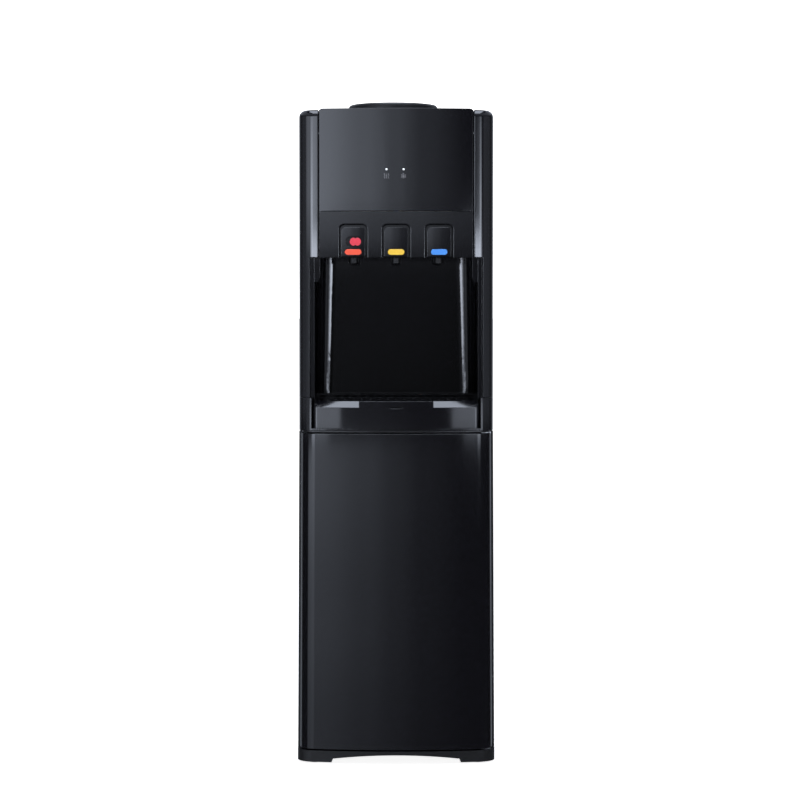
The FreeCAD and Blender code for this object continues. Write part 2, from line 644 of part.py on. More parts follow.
def child_lock():
    """Two-lobed red slider in the hot button's recess."""
    y0, y1 = BUTTON_FRONT - 1.6, BUTTON_FRONT + 4.6
    lobes = []
    waist = []
    for sign in (-1, 1):
        x = LOCK_X + sign * 2.4
        z = LOCK_Z + sign * 8.2
        lobes.append(rod(6.3, (x, y0, LOCK_Z), (x, y1, LOCK_Z)))
        waist.append(rod(3.0, (LOCK_X, y0 - 1, z), (LOCK_X, y1 + 1, z)))
    return join(*lobes).cut(group(waist))


def return_spring(x):
    """Stack of turns around the stem, between the button and the floor of its well."""
    turns = []
    count = 4
    wire = 0.6
    first = BUTTON_BACK + wire + 0.1
    pitch = (WELL_FLOOR - 0.1 - wire - first) / (count - 1)
    for index in range(count):
        turns.append(Part.makeTorus(6.2, wire, V(x, first + pitch * index, SPRING_Z), V(0, 1, 0)))
    return group(turns)


def tap_body(x):
    """Valve body behind a button, with its inlet and the nozzle above the glass."""
    barrel = rod(10.0, (x, -129.0, SPRING_Z), (x, -98.0, SPRING_Z))
    drop = rod(NOZZLE_RADIUS, (x, NOZZLE_Y, SPRING_Z), (x, NOZZLE_Y, NOZZLE_TIP))
    collar = rod(NOZZLE_RADIUS + 6, (x, NOZZLE_Y, ALCOVE_CEILING + 3.0), (x, NOZZLE_Y, ALCOVE_CEILING + 6))
    inlet = rod(5.0, (x, -99, SPRING_Z), (x, -90.0, SPRING_Z))
    bore = join(rod(4.0, (x, NOZZLE_Y, NOZZLE_TIP - 5), (x, NOZZLE_Y, SPRING_Z)),
                rod(3.0, (x, NOZZLE_Y, SPRING_Z), (x, -80, SPRING_Z)))
    return join(barrel, drop, collar, inlet).cut(bore)


# ---- bottle seat --------------------------------------------------------------------------
NECK_RADIUS = 29.5
SEAT_FOOT = 1003.0
SEAT_RIM = 72.0             # outside radius of the upstanding collar
SEAT_WALL = 3.0


def bottle_seat():
    """Collar with a shallow funnel that the bottle's shoulder rests in, and the neck bore."""
    def at(r, z):
        return V(r, 0, z)
    flange = SEAT_HOLE - 0.5
    throat = SEAT_TOP - 13
    outline = [at(SEAT_RIM, SEAT_TOP - 5), at(SEAT_RIM, BODY_TOP + 3), at(flange, BODY_TOP + 2.5),
               at(flange, BODY_TOP - 6), at(SEAT_RIM - SEAT_WALL, BODY_TOP - 6),
               at(SEAT_RIM - SEAT_WALL, SEAT_TOP - 6), at(SEAT_RIM - 9, SEAT_TOP - 4),
               at(NECK_RADIUS + SEAT_WALL, throat - 3), at(NECK_RADIUS + SEAT_WALL, SEAT_FOOT),
               at(NECK_RADIUS, SEAT_FOOT), at(NECK_RADIUS, throat), at(NECK_RADIUS + 4, throat + 2),
               at(SEAT_RIM - 9, SEAT_TOP - 1), at(SEAT_RIM - 5, SEAT_TOP)]
    edges = [Part.LineSegment(a, b).toShape() for a, b in zip(outline, outline[1:])]
    shoulder = at(SEAT_RIM - 1.4, SEAT_TOP - 1.4)
    edges.append(Part.Arc(outline[-1], shoulder, outline[0]).toShape())
    ring = Part.Face(Part.Wire(edges)).revolve(V(0, 0, 0), V(0, 0, 1), 360)
    ring.translate(V(SEAT_X, SEAT_Y, 0))
    return ring


def bottle_probe():
    """Hollow spike that opens the bottle's cap, on three spokes under the neck bore."""
    base = SEAT_FOOT - 4.5
    neck = SEAT_FOOT + 21
    stalk = tube(8.0, 5.0, (0, 0, base - 2.5), (0, 0, neck))
    tip = Part.makeCone(8.0, 3.0, 8, V(0, 0, neck))
    port_z = neck - 6
    ports = [rod(2.2, (-12, 0, port_z), (12, 0, port_z)), rod(2.2, (0, -12, port_z), (0, 12, port_z))]
    spokes = []
    for index in range(3):
        spoke = box(6.5, NECK_RADIUS + 2.0, -1.5, 1.5, base, SEAT_FOOT)
        spoke.rotate(V(0, 0, 0), V(0, 0, 1), 120 * index + 30)
        spokes.append(spoke)
    rim = tube(NECK_RADIUS + SEAT_WALL, NECK_RADIUS, (0, 0, base), (0, 0, SEAT_FOOT))
    probe = join(stalk, tip, rim, *spokes).cut(group(ports))
    probe.translate(V(SEAT_X, SEAT_Y, 0))
    return probe


# ---- tanks and plumbing -------------------------------------------------------------------
COLD_Y = 5.0
COLD_RADIUS = 66.0
COLD_FLOOR = 850.0
COLD_TOP = 985.0
FOAM = 18.0
HOT_X = -66.0
HOT_Y = 70.0
HOT_RADIUS = 46.0
HOT_FLOOR = 610.0
HOT_TOP = 760.0
COIL_WIRE = 3.0
HOSE_SIDE = 108.0           # the hot and cold hoses run this far out, clear of the foam
DRAIN_Z = 300.0


def cold_tank():
    tank = rod(COLD_RADIUS, (0, COLD_Y, COLD_FLOOR), (0, COLD_Y, COLD_TOP))
    tank = rounded(tank, 8.0, lambda c: c.z < COLD_FLOOR + 1)
    return tank.cut(rod(COLD_RADIUS - 1.2, (0, COLD_Y, COLD_FLOOR + 9), (0, COLD_Y, COLD_TOP + 1)))


def cold_tank_foam():
    reach = COLD_RADIUS + 2 * COIL_WIRE + 0.6
    foam = rod(reach + FOAM, (0, COLD_Y, COLD_FLOOR - FOAM), (0, COLD_Y, COLD_TOP - 4))
    foam = rounded(foam, 6.0, lambda c: True)
    space = rod(reach, (0, COLD_Y, COLD_FLOOR - 0.3), (0, COLD_Y, COLD_TOP))
    outlet = rod(5.0, (0, -200, COLD_FLOOR + 20), (0, COLD_Y, COLD_FLOOR + 20))
    return foam.cut(join(space, outlet))


def evaporator_coil():
    """Copper turns wound on the cold tank."""
    turns = []
    for index in range(9):
        turns.append(Part.makeTorus(COLD_RADIUS + COIL_WIRE + 0.1, COIL_WIRE,
                                    V(0, COLD_Y, COLD_FLOOR + 32 + 10 * index)))
    return group(turns)


def hot_tank():
    tank = rod(HOT_RADIUS, (HOT_X, HOT_Y, HOT_FLOOR), (HOT_X, HOT_Y, HOT_TOP))
    tank = rounded(tank, 14.0, lambda c: True)
    stub = rod(6.0, (HOT_X, HOT_Y, HOT_TOP - 2), (HOT_X, HOT_Y, HOT_TOP + 12))
    core = rod(HOT_RADIUS - 1.5, (HOT_X, HOT_Y, HOT_FLOOR + 15), (HOT_X, HOT_Y, HOT_TOP - 15))
    return join(tank, stub).cut(core)


def drain_hose():
    """From the bottom of the hot tank to the drain at the back."""
    run = [(HOT_X, HOT_Y, HOT_FLOOR - 0.2), (HOT_X, HOT_Y, DRAIN_Z), (HOT_X, REAR_FACE - 8, DRAIN_Z)]
    return pipe(run, 6.0, 24.0)


def heater_band():
    """Clamped heating band with its terminal block and the reset thermostat."""
    low = HOT_FLOOR + 50
    band = tube(HOT_RADIUS + 4, HOT_RADIUS + 0.05, (HOT_X, HOT_Y, low), (HOT_X, HOT_Y, low + 44))
    block = box(HOT_X + HOT_RADIUS + 2, HOT_X + HOT_RADIUS + 20, HOT_Y - 12, HOT_Y + 12, low + 8, low + 36)
    reset = rod(9.0, (HOT_X, HOT_Y - HOT_RADIUS - 12, low + 22), (HOT_X, HOT_Y - HOT_RADIUS - 2, low + 22))
    return join(band, block, reset)


def tap_hose(x, *route):
    """Hose that starts straight back from a tap."""
    start = (x, -89.7, SPRING_Z)
    return pipe([start, (x, -60, SPRING_Z)] + list(route), 4.5, 12.0)


def water_hoses():
    """The three tap hoses and the drain hose."""
    hot = tap_hose(-BUTTON_PITCH, (-HOSE_SIDE, -40, SPRING_Z), (-HOSE_SIDE, HOT_Y, SPRING_Z),
                   (HOT_X, HOT_Y, SPRING_Z), (HOT_X, HOT_Y, HOT_TOP + 12.2))
    ambient = tap_hose(0.0, (0, -60, SPRING_Z - 12), (0, -20, SPRING_Z - 12))
    cold = tap_hose(BUTTON_PITCH, (HOSE_SIDE, -40, SPRING_Z), (HOSE_SIDE, 0, SPRING_Z))
    return group([hot, ambient, cold, drain_hose()])


# ---- refrigeration ------------------------------------------------------------------------
COMP_X = 34.0
COMP_Y = 86.0
COMP_RADIUS = 52.0
COMP_PLATE = PLINTH_TOP + 13
COMP_FLOOR = COMP_PLATE + 2
COMP_TOP = COMP_FLOOR + 148


def compressor():
    """Sealed pot with its foot plate and terminal cover."""
    pot = rod(COMP_RADIUS, (COMP_X, COMP_Y, COMP_FLOOR), (COMP_X, COMP_Y, COMP_TOP))
    pot = rounded(pot, 24.0, lambda c: True)
    waist = COMP_FLOOR + 76
    seam = rod(COMP_RADIUS + 2.0, (COMP_X, COMP_Y, waist), (COMP_X, COMP_Y, waist + 4))
    plate = box(COMP_X - 70, COMP_X + 70, COMP_Y - 46, COMP_Y + 46, COMP_PLATE, COMP_PLATE + 3)
    plate = plate.cut(group(mount_holes(7.05, COMP_PLATE - 2, COMP_PLATE + 5)))
    cover = box(COMP_X - COMP_RADIUS - 14, COMP_X - COMP_RADIUS + 6, COMP_Y - 20, COMP_Y + 20, 80, 130)
    return join(pot, seam, plate, cover)


def mount_holes(radius, z0, z1):
    return [rod(radius, (COMP_X + sx * 60, COMP_Y + sy * 37, z0), (COMP_X + sx * 60, COMP_Y + sy * 37, z1))
            for sx in (-1, 1) for sy in (-1, 1)]


def compressor_mounts():
    """Four rubber grommets between the foot plate and the plinth's tray."""
    low = mount_holes(9.0, PLINTH_TOP, COMP_PLATE)
    neck = mount_holes(7.0, COMP_PLATE - 1, COMP_PLATE + 5)
    return group(join(a, b) for a, b in zip(low, neck))


def filter_dryer():
    """Copper capsule between condenser and capillary."""
    top = (-112, 128, 300)
    low = (-112, 128, 210)
    upper_cone = Part.makeCone(9, 2.5, 14, V(*top))
    lower_cone = Part.makeCone(9, 2.5, 14, V(*low), V(0, 0, -1))
    return join(rod(9.0, low, top), upper_cone, lower_cone)


def refrigerant_pipes():
    """Copper discharge pipe to the condenser and suction pipe from the evaporator."""
    discharge = pipe([(COMP_X + 20, COMP_Y, COMP_TOP + 0.2), (COMP_X + 20, COMP_Y, 214), (-90, COMP_Y, 214),
                      (-90, 161, 214)], 3.0, 12.0)
    suction = pipe([(COMP_X - 20, COMP_Y, COMP_TOP + 0.2), (COMP_X - 20, COMP_Y, 260), (40, COMP_Y, 260),
                    (40, COMP_Y, 500), (40, 118, 540), (40, 118, 820)], 3.5, 14.0)
    return group([discharge, suction])


def condenser_grid():
    """Wire-on-tube condenser: a serpentine of cross tubes between two layers of upright wires."""
    tube_y = 165.0
    half = 112.0
    rows = 10
    pitch = 62.0
    first = 340.0
    parts = []
    for row in range(rows):
        z = first + row * pitch
        parts.append(rod(2.6, (-half, tube_y, z), (half, tube_y, z)))
        if row:
            side = half if row % 2 else -half
            turn = pipe([(side, tube_y, z - pitch), (side + math.copysign(16, side), tube_y, z - pitch),
                         (side + math.copysign(16, side), tube_y, z), (side, tube_y, z)], 2.6, 8.0)
            parts.append(turn)
    wire = 1.1
    for index in range(19):
        x = -108 + index * 12
        for sign in (-1, 1):
            y = tube_y + sign * (2.6 + wire - 0.15)
            parts.append(rod(wire, (x, y, first - 14), (x, y, first + (rows - 1) * pitch + 14)))
    top = first + (rows - 1) * pitch
    for x in (-100, 100):
        for z in (first + 31, top - 31):
            parts.append(box(x - 6, x + 6, REAR_FACE, tube_y + 1, z - 5, z + 5))
    grid = parts[0].multiFuse(parts[1:])
    bars = [box(-half, half, tube_y + 3.3, CONDENSER_REAR, z - 5, z + 5) for z in (first + 31, top - 31)]
    return grid.multiFuse(bars)


# ---- rear ---------------------------------------------------------------------------------
SWITCHES = (("heat", 62.0), ("cool", 100.0))
SWITCH_Z = 700.0
SWITCH_Y = 146.0


def upper_rear_panel():
    panel = box(-152, 152, REAR_FACE - SHEET + 0.1, REAR_FACE, 331, 1010.5)
    cuts = [box(x - 8.4, x + 8.4, 140, 160, SWITCH_Z - 12.6, SWITCH_Z + 12.6) for _, x in SWITCHES]
    for row in range(5):
        for x in (-110, 34):
            z = 450 + row * 18
            cuts.append(slot_x(x, x + 76, 140, 160, z, z + 5))
    return slotted(panel, cuts)


def rocker(x):
    """Rocker of one power switch, a rolled key on a cross pin."""
    key = rod(11.0, (x - 7.5, SWITCH_Y, SWITCH_Z), (x + 7.5, SWITCH_Y, SWITCH_Z))
    dish = rod(16.0, (x - 9, SWITCH_Y + 24, SWITCH_Z), (x + 9, SWITCH_Y + 24, SWITCH_Z))
    return key.cut(dish)


def switch_housings():
    """Socket of each power switch: a well for the rocker and a bezel outside the panel."""
    sockets = []
    for _, x in SWITCHES:
        well = box(x - 8.2, x + 8.2, SWITCH_Y - 18, REAR_FACE + 0.5, SWITCH_Z - 12.4, SWITCH_Z + 12.4)
        bezel = box(x - 11, x + 11, REAR_FACE, REAR_FACE + 1.5, SWITCH_Z - 15, SWITCH_Z + 15)
        space = join(rod(11.4, (x - 7.8, SWITCH_Y, SWITCH_Z), (x + 7.8, SWITCH_Y, SWITCH_Z)),
                     box(x - 7.8, x + 7.8, SWITCH_Y, REAR_FACE + 5, SWITCH_Z - 11.4, SWITCH_Z + 11.4))
        sockets.append(join(well, bezel).cut(space))
    return group(sockets)


def drain_spout():
    """Threaded drain stub of the hot tank."""
    return tube(8.0, 4.0, (HOT_X, REAR_FACE - 7.8, DRAIN_Z), (HOT_X, REAR_FACE + 9, DRAIN_Z))


def drain_cap():
    shell = rod(11.5, (HOT_X, REAR_FACE + 1.0, DRAIN_Z), (HOT_X, REAR_FACE + 14, DRAIN_Z))
    inside = rod(8.05, (HOT_X, REAR_FACE, DRAIN_Z), (HOT_X, REAR_FACE + 10, DRAIN_Z))
    grips = []
    for index in range(12):
        angle = 2 * math.pi * index / 12
        x, z = HOT_X + 11.9 * math.cos(angle), DRAIN_Z + 11.9 * math.sin(angle)
        grips.append(rod(1.1, (x, REAR_FACE, z), (x, REAR_FACE + 15, z)))
    return shell.cut(inside).cut(group(grips))


def cord_gland():
    """Strain relief that the mains cord comes out of."""
    def sleeve(radius, y0, y1):
        return tube(radius, GLAND_BORE, (GLAND_X, y0, GLAND_Z), (GLAND_X, y1, GLAND_Z))
    throat = sleeve(8.8, REAR_FACE - 8, REAR_FACE + 0.5)
    flange = sleeve(12.5, REAR_FACE, REAR_FACE + 3)
    nose = sleeve(7.0, REAR_FACE + 2, REAR_FACE + 14)
    return join(throat, flange, nose)


def rear_screws():
    """Pan-head screws of the two rear panels."""
    places = [(x, z) for x in (-144, 144) for z in (50, 180, 310, 352, 520, 700, 880, 995)]
    return group(rounded(rod(3.6, (x, REAR_FACE, z), (x, REAR_FACE + 2.2, z)), 1.2,
                         lambda c: c.y > REAR_FACE + 2) for x, z in places)


# ---- the assembly -------------------------------------------------------------------------
def build():
    add("base_plinth", plinth())
    add("foot_pads", foot_pads())
    add("side_panel_left", side_panel())
    add("side_panel_right", mirrored(side_panel()))
    add("cabinet_liner", cabinet_liner())
    add("lower_rear_panel", lower_rear_panel())
    add("hinge_bracket_lower", hinge_bracket(PLINTH_TOP, True))
    add("hinge_bracket_upper", hinge_bracket(DECK_Z - LEAF, False))
    add("magnet_catch", magnet_catch())
    add("door_skin", door_skin())
    add("door_inner", door_inner())
    add("strike_plate", strike_plate())
    add("mid_deck", mid_deck())
    add("tray_housing", tray_housing())
    add("drip_tray", drip_tray())
    add("drip_grille", drip_grille())
    add("alcove_liner", alcove_liner())
    add("pillar_left", pillar())
    add("pillar_right", mirrored(pillar()))
    add("upper_side_left", upper_side())
    add("upper_side_right", mirrored(upper_side()))
    add("top_cover", top_cover())
    add("fascia", fascia())
    add("lamp_board", lamp_board())
    add("lamp_lenses", lamps())
    add("button_panel", button_panel())
    for name, x in TAPS:
        add(name + "_button", tap_button(x, name == "hot"))
        add(name + "_marker", tap_marker(x))
        add(name + "_spring", return_spring(x))
        add(name + "_tap", tap_body(x))
    add("child_lock", child_lock())
    add("bottle_seat", bottle_seat())
    add("bottle_probe", bottle_probe())
    add("cold_tank", cold_tank())
    add("cold_tank_foam", cold_tank_foam())
    add("evaporator_coil", evaporator_coil())
    add("hot_tank", hot_tank())
    add("heater_band", heater_band())
    add("water_hoses", water_hoses())
    add("compressor", compressor())
    add("compressor_mounts", compressor_mounts())
    add("filter_dryer", filter_dryer())
    add("refrigerant_pipes", refrigerant_pipes())
    add("condenser_grid", condenser_grid())
    add("upper_rear_panel", upper_rear_panel())
    for name, x in SWITCHES:
        add(name + "_switch", rocker(x))
    add("switch_housings", switch_housings())
    add("drain_spout", drain_spout())
    add("drain_cap", drain_cap())
    add("cord_gland", cord_gland())
    add("rear_screws", rear_screws())


def write():
    os.makedirs("parts", exist_ok=True)
    for name, shape in NODES.items():
        if not shape.isValid() or not shape.Solids:
            raise ValueError(name + " is not a valid solid")
        shape.exportStep(os.path.join("parts", name + ".step"))
        limits = shape.BoundBox
        print("%-20s %2d solids  %8.1f cm3  x %7.1f %7.1f  y %7.1f %7.1f  z %7.1f %7.1f" % (
            name, len(shape.Solids), shape.Volume / 1000, limits.XMin, limits.XMax,
            limits.YMin, limits.YMax, limits.ZMin, limits.ZMax))


build()
write()
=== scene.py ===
import json
import math

import bmesh
import bpy
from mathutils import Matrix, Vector
from mathutils.bvhtree import BVHTree


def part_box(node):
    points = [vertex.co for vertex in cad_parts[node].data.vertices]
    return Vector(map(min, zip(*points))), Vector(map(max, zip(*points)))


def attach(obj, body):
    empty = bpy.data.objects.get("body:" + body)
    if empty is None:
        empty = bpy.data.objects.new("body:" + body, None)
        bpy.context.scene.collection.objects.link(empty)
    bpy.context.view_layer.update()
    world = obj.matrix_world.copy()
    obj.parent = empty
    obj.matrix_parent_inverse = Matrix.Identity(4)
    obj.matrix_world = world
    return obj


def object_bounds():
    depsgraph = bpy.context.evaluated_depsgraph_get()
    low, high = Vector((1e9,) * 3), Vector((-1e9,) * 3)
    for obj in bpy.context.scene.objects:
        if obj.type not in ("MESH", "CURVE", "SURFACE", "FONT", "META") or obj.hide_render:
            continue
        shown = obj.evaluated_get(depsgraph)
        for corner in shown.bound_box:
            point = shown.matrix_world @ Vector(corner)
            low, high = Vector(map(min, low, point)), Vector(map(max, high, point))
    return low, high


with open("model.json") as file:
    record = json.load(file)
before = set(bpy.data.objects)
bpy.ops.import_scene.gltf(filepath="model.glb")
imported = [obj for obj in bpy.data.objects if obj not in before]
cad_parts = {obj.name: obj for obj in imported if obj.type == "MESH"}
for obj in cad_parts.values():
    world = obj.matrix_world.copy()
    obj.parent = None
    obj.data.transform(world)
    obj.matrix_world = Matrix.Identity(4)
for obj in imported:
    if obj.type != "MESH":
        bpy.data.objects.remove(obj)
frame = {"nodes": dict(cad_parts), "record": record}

CAD_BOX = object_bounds()
NODES = frame["nodes"]
MM = 0.001


# ---- places taken from the frame ----------------------------------------------------------
def front_surface(node):
    """A function that gives the foremost y of a CAD node at a given x and z."""
    mesh = NODES[node].data
    mesh.calc_loop_triangles()
    corners = [v.co for v in mesh.vertices]
    tree = BVHTree.FromPolygons(corners, [t.vertices for t in mesh.loop_triangles])

    def depth(x, z):
        hit = tree.ray_cast(Vector((x, -1.0, z)), Vector((0, 1, 0)))[0]
        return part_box(node)[0].y if hit is None else hit.y
    return depth


EDGE = 1.1 * MM              # moulded and folded edges catch the light over this radius
EDGE_SAMPLES = 4


# ---- materials ----------------------------------------------------------------------------
class Recipe:
    """Builds one node material around a Principled shader."""

    def __init__(self, name, colour, roughness, metallic=0.0):
        self.material = bpy.data.materials.new(name)
        self.material.use_nodes = True
        self.tree = self.material.node_tree
        self.shader = self.tree.nodes["Principled BSDF"]
        self.shader.inputs["Base Color"].default_value = (*colour, 1.0)
        self.shader.inputs["Roughness"].default_value = roughness
        self.shader.inputs["Metallic"].default_value = metallic
        rim = self.add("ShaderNodeBevel")
        rim.samples = EDGE_SAMPLES
        rim.inputs["Radius"].default_value = EDGE
        self.height = rim.outputs["Normal"]
        self.place = self.add("ShaderNodeTexCoord").outputs["Object"]

    def add(self, kind, **values):
        node = self.tree.nodes.new(kind)
        for key, value in values.items():
            if hasattr(node, key):
                setattr(node, key, value)
            else:
                node.inputs[key.replace("_", " ")].default_value = value
        return node

    def link(self, output, target):
        self.tree.links.new(output, target)

    def stretched(self, scale):
        """Object coordinates scaled differently along each axis."""
        mapping = self.add("ShaderNodeMapping")
        mapping.inputs["Scale"].default_value = scale
        self.link(self.place, mapping.inputs["Vector"])
        return mapping.outputs["Vector"]

    def noise(self, scale, detail=3.0, vector=None):
        node = self.add("ShaderNodeTexNoise", Scale=scale, Detail=detail)
        self.link(vector or self.place, node.inputs["Vector"])
        return node.outputs["Fac"]

    def cells(self, scale, feature="F1"):
        node = self.add("ShaderNodeTexVoronoi", feature=feature, Scale=scale)
        self.link(self.place, node.inputs["Vector"])
        return node.outputs["Distance"]

    def spread(self, value, low, high, start=0.3, end=0.7):
        """Maps a texture value onto a range."""
        node = self.add("ShaderNodeMapRange")
        limits = {"From Min": start, "From Max": end, "To Min": low, "To Max": high}
        for key, number in limits.items():
            node.inputs[key].default_value = number
        self.link(value, node.inputs["Value"])
        return node.outputs["Result"]

    def vary_colour(self, value, first, second):
        mix = self.add("ShaderNodeMix", data_type="RGBA")
        colours = [s for s in mix.inputs if s.type == "RGBA"]
        colours[0].default_value = (*first, 1.0)
        colours[1].default_value = (*second, 1.0)
        self.link(value, mix.inputs["Factor"])
        self.link([s for s in mix.outputs if s.type == "RGBA"][0], self.shader.inputs["Base Color"])

    def vary_roughness(self, value, low, high):
        self.link(self.spread(value, low, high), self.shader.inputs["Roughness"])

    def bump(self, value, depth):
        """Adds a layer of relief; depth is in metres."""
        node = self.add("ShaderNodeBump")
        node.inputs["Strength"].default_value = 1.0
        node.inputs["Distance"].default_value = depth
        self.link(value, node.inputs["Height"])
        self.link(self.height, node.inputs["Normal"])
        self.height = node.outputs["Normal"]
        self.link(self.height, self.shader.inputs["Normal"])


def gloss_plastic(name, colour, roughness=0.07, peel=0.000012):
    """Polished injection moulding: faint orange peel, wiping marks and a trace of dust."""
    made = Recipe(name, colour, roughness)
    wipe = made.noise(6.0, 5.0, made.stretched((1.0, 1.0, 0.25)))
    made.vary_roughness(wipe, roughness * 0.75, roughness * 1.5)
    dust = made.spread(made.noise(260.0, 8.0), 0.0, 1.0, 0.58, 0.80)
    made.vary_colour(dust, colour, tuple(min(1.0, c * 1.25 + 0.004) for c in colour))
    made.bump(made.noise(110.0, 2.0), peel)
    made.bump(made.noise(900.0, 2.0), peel * 0.12)
    return made.material


def satin_plastic(name, colour, roughness=0.42, grain=0.00004, shine=0.3):
    """Spark-eroded moulding texture."""
    made = Recipe(name, colour, roughness)
    made.shader.inputs["Specular IOR Level"].default_value = shine
    made.vary_roughness(made.noise(9.0, 4.0), roughness * 0.85, roughness * 1.15)
    darker = tuple(c * 0.85 for c in colour)
    lighter = tuple(min(1.0, c * 1.2) for c in colour)
    made.vary_colour(made.noise(40.0, 6.0), darker, lighter)
    made.bump(made.noise(1700.0, 3.0), grain)
    return made.material


def powder_coat(name, colour, roughness=0.33):
    """Baked powder paint on sheet steel: fine orange peel with slow ripples of the sheet."""
    made = Recipe(name, colour, roughness)
    made.vary_roughness(made.noise(14.0, 4.0), roughness * 0.8, roughness * 1.2)
    made.vary_colour(made.noise(420.0, 5.0), tuple(c * 0.8 for c in colour), tuple(c * 1.3 for c in colour))
    made.bump(made.noise(7.0, 1.0), 0.0003)
    made.bump(made.noise(900.0, 3.0), 0.00005)
    return made.material


def rubber(name, colour):
    """Moulded rubber, dull and slightly blotched."""
    made = Recipe(name, colour, 0.7)
    made.vary_roughness(made.noise(80.0, 6.0), 0.58, 0.85)
    made.vary_colour(made.noise(60.0, 7.0), colour, tuple(min(1.0, c * 1.8) for c in colour))
    made.bump(made.noise(1300.0, 4.0), 0.00006)
    return made.material


def zinc(name):
    """Zinc-plated steel with its faint spangle."""
    made = Recipe(name, (0.52, 0.53, 0.55), 0.34, 1.0)
    spangle = made.cells(120.0)
    made.vary_colour(spangle, (0.45, 0.46, 0.48), (0.66, 0.67, 0.68))
    made.vary_roughness(made.noise(55.0, 5.0), 0.26, 0.46)
    made.bump(made.noise(700.0, 3.0), 0.00002)
    return made.material


def stainless(name):
    """Brushed stainless steel, the brush marks running round the tank."""
    made = Recipe(name, (0.58, 0.58, 0.59), 0.28, 1.0)
    brush = made.noise(60.0, 6.0, made.stretched((1.0, 1.0, 40.0)))
    made.vary_roughness(brush, 0.2, 0.42)
    made.vary_colour(brush, (0.5, 0.5, 0.51), (0.66, 0.66, 0.67))
    made.bump(brush, 0.00002)
    return made.material


def copper(name):
    """Drawn copper with darker tarnish in patches."""
    made = Recipe(name, (0.72, 0.36, 0.22), 0.25, 1.0)
    tarnish = made.noise(38.0, 7.0)
    made.vary_colour(tarnish, (0.78, 0.40, 0.25), (0.42, 0.20, 0.12))
    made.vary_roughness(tarnish, 0.18, 0.45)
    made.bump(made.noise(500.0, 3.0), 0.00002)
    return made.material


def spring_wire(name):
    """Bright drawn wire."""
    made = Recipe(name, (0.7, 0.7, 0.72), 0.2, 1.0)
    made.vary_roughness(made.noise(300.0, 3.0), 0.14, 0.3)
    made.vary_colour(made.noise(90.0, 3.0), (0.62, 0.62, 0.64), (0.78, 0.78, 0.8))
    return made.material


def foam(name):
    """Poured rigid foam with its skin of small cells."""
    made = Recipe(name, (0.78, 0.68, 0.42), 0.8)
    cell = made.cells(420.0)
    made.vary_colour(made.noise(25.0, 6.0), (0.80, 0.70, 0.45), (0.66, 0.54, 0.30))
    made.bump(cell, 0.0005)
    made.bump(made.noise(30.0, 4.0), 0.0015)
    return made.material


def silicone(name):
    """Milky hose rubber that lets a little light into itself."""
    made = Recipe(name, (0.82, 0.82, 0.78), 0.35)
    made.vary_roughness(made.noise(70.0, 4.0), 0.28, 0.45)
    made.vary_colour(made.noise(30.0, 4.0), (0.84, 0.84, 0.8), (0.74, 0.74, 0.7))
    made.shader.inputs["Subsurface Weight"].default_value = 0.3
    made.shader.inputs["Subsurface Radius"].default_value = (0.004, 0.004, 0.004)
    made.bump(made.noise(600.0, 2.0), 0.00002)
    return made.material


def lamp_lens(name):
    """Frosted lens over a lit lamp."""
    made = Recipe(name, (0.9, 0.93, 0.96), 0.25)
    made.vary_roughness(made.noise(900.0, 2.0), 0.2, 0.35)
    made.vary_colour(made.noise(700.0, 2.0), (0.92, 0.95, 0.98), (0.8, 0.84, 0.9))
    made.shader.inputs["Emission Color"].default_value = (0.86, 0.93, 1.0, 1.0)
    made.shader.inputs["Emission Strength"].default_value = 0.55
    return made.material


def circuit_board(name):
    """Green board with a web of lighter tracks."""
    made = Recipe(name, (0.02, 0.16, 0.07), 0.35)
    tracks = made.cells(260.0, "DISTANCE_TO_EDGE")
    made.vary_colour(made.spread(tracks, 0.0, 1.0, 0.02, 0.08), (0.06, 0.30, 0.14), (0.02, 0.14, 0.06))
    made.vary_roughness(made.noise(120.0, 3.0), 0.28, 0.45)
    made.bump(tracks, 0.00005)
    return made.material


MATERIALS = {
    "gloss_black": gloss_plastic("gloss_black", (0.004, 0.004, 0.0055)),
    "satin_black": satin_plastic("satin_black", (0.0055, 0.0055, 0.0065)),
    "black_steel": powder_coat("black_steel", (0.010, 0.010, 0.012)),
    "inner_plastic": satin_plastic("inner_plastic", (0.030, 0.030, 0.034), 0.38),
    "black_rubber": rubber("black_rubber", (0.010, 0.010, 0.010)),
    "zinc_steel": zinc("zinc_steel"),
    "stainless": stainless("stainless"),
    "foam": foam("foam"),
    "copper": copper("copper"),
    "silicone": silicone("silicone"),
    "red_plastic": gloss_plastic("red_plastic", (0.86, 0.10, 0.05), 0.22),
    "lock_red": gloss_plastic("lock_red", (0.72, 0.045, 0.075), 0.22),
    "yellow_plastic": gloss_plastic("yellow_plastic", (0.86, 0.56, 0.06), 0.22),
    "blue_plastic": gloss_plastic("blue_plastic", (0.06, 0.27, 0.78), 0.22),
    "lamp_lens": lamp_lens("lamp_lens"),
    "circuit_green": circuit_board("circuit_green"),
    "white_plastic": satin_plastic("white_plastic", (0.74, 0.74, 0.72), 0.35),
    "spring_steel": spring_wire("spring_steel"),
}


def dress_cad_nodes():
    for part in frame["record"]["subparts"]:
        data = NODES[part["node"]].data
        data.materials.clear()
        data.materials.append(MATERIALS[part["material_slot"]])


# ---- pieces added on the model ------------------------------------------------------------
def strokes(name, paths, thickness, material, body):
    """Thin printed strokes as one curve object that rides on a body."""
    data = bpy.data.curves.new(name, "CURVE")
    data.dimensions = "3D"
    data.bevel_depth = thickness / 2
    data.bevel_resolution = 2
    data.use_fill_caps = True
    for path in paths:
        spline = data.splines.new("POLY")
        spline.points.add(len(path) - 1)
        for point, place in zip(spline.points, path):
            point.co = (*place, 1.0)
    piece = bpy.data.objects.new(name, data)
    bpy.context.scene.collection.objects.link(piece)
    data.materials.append(material)
    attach(piece, body)


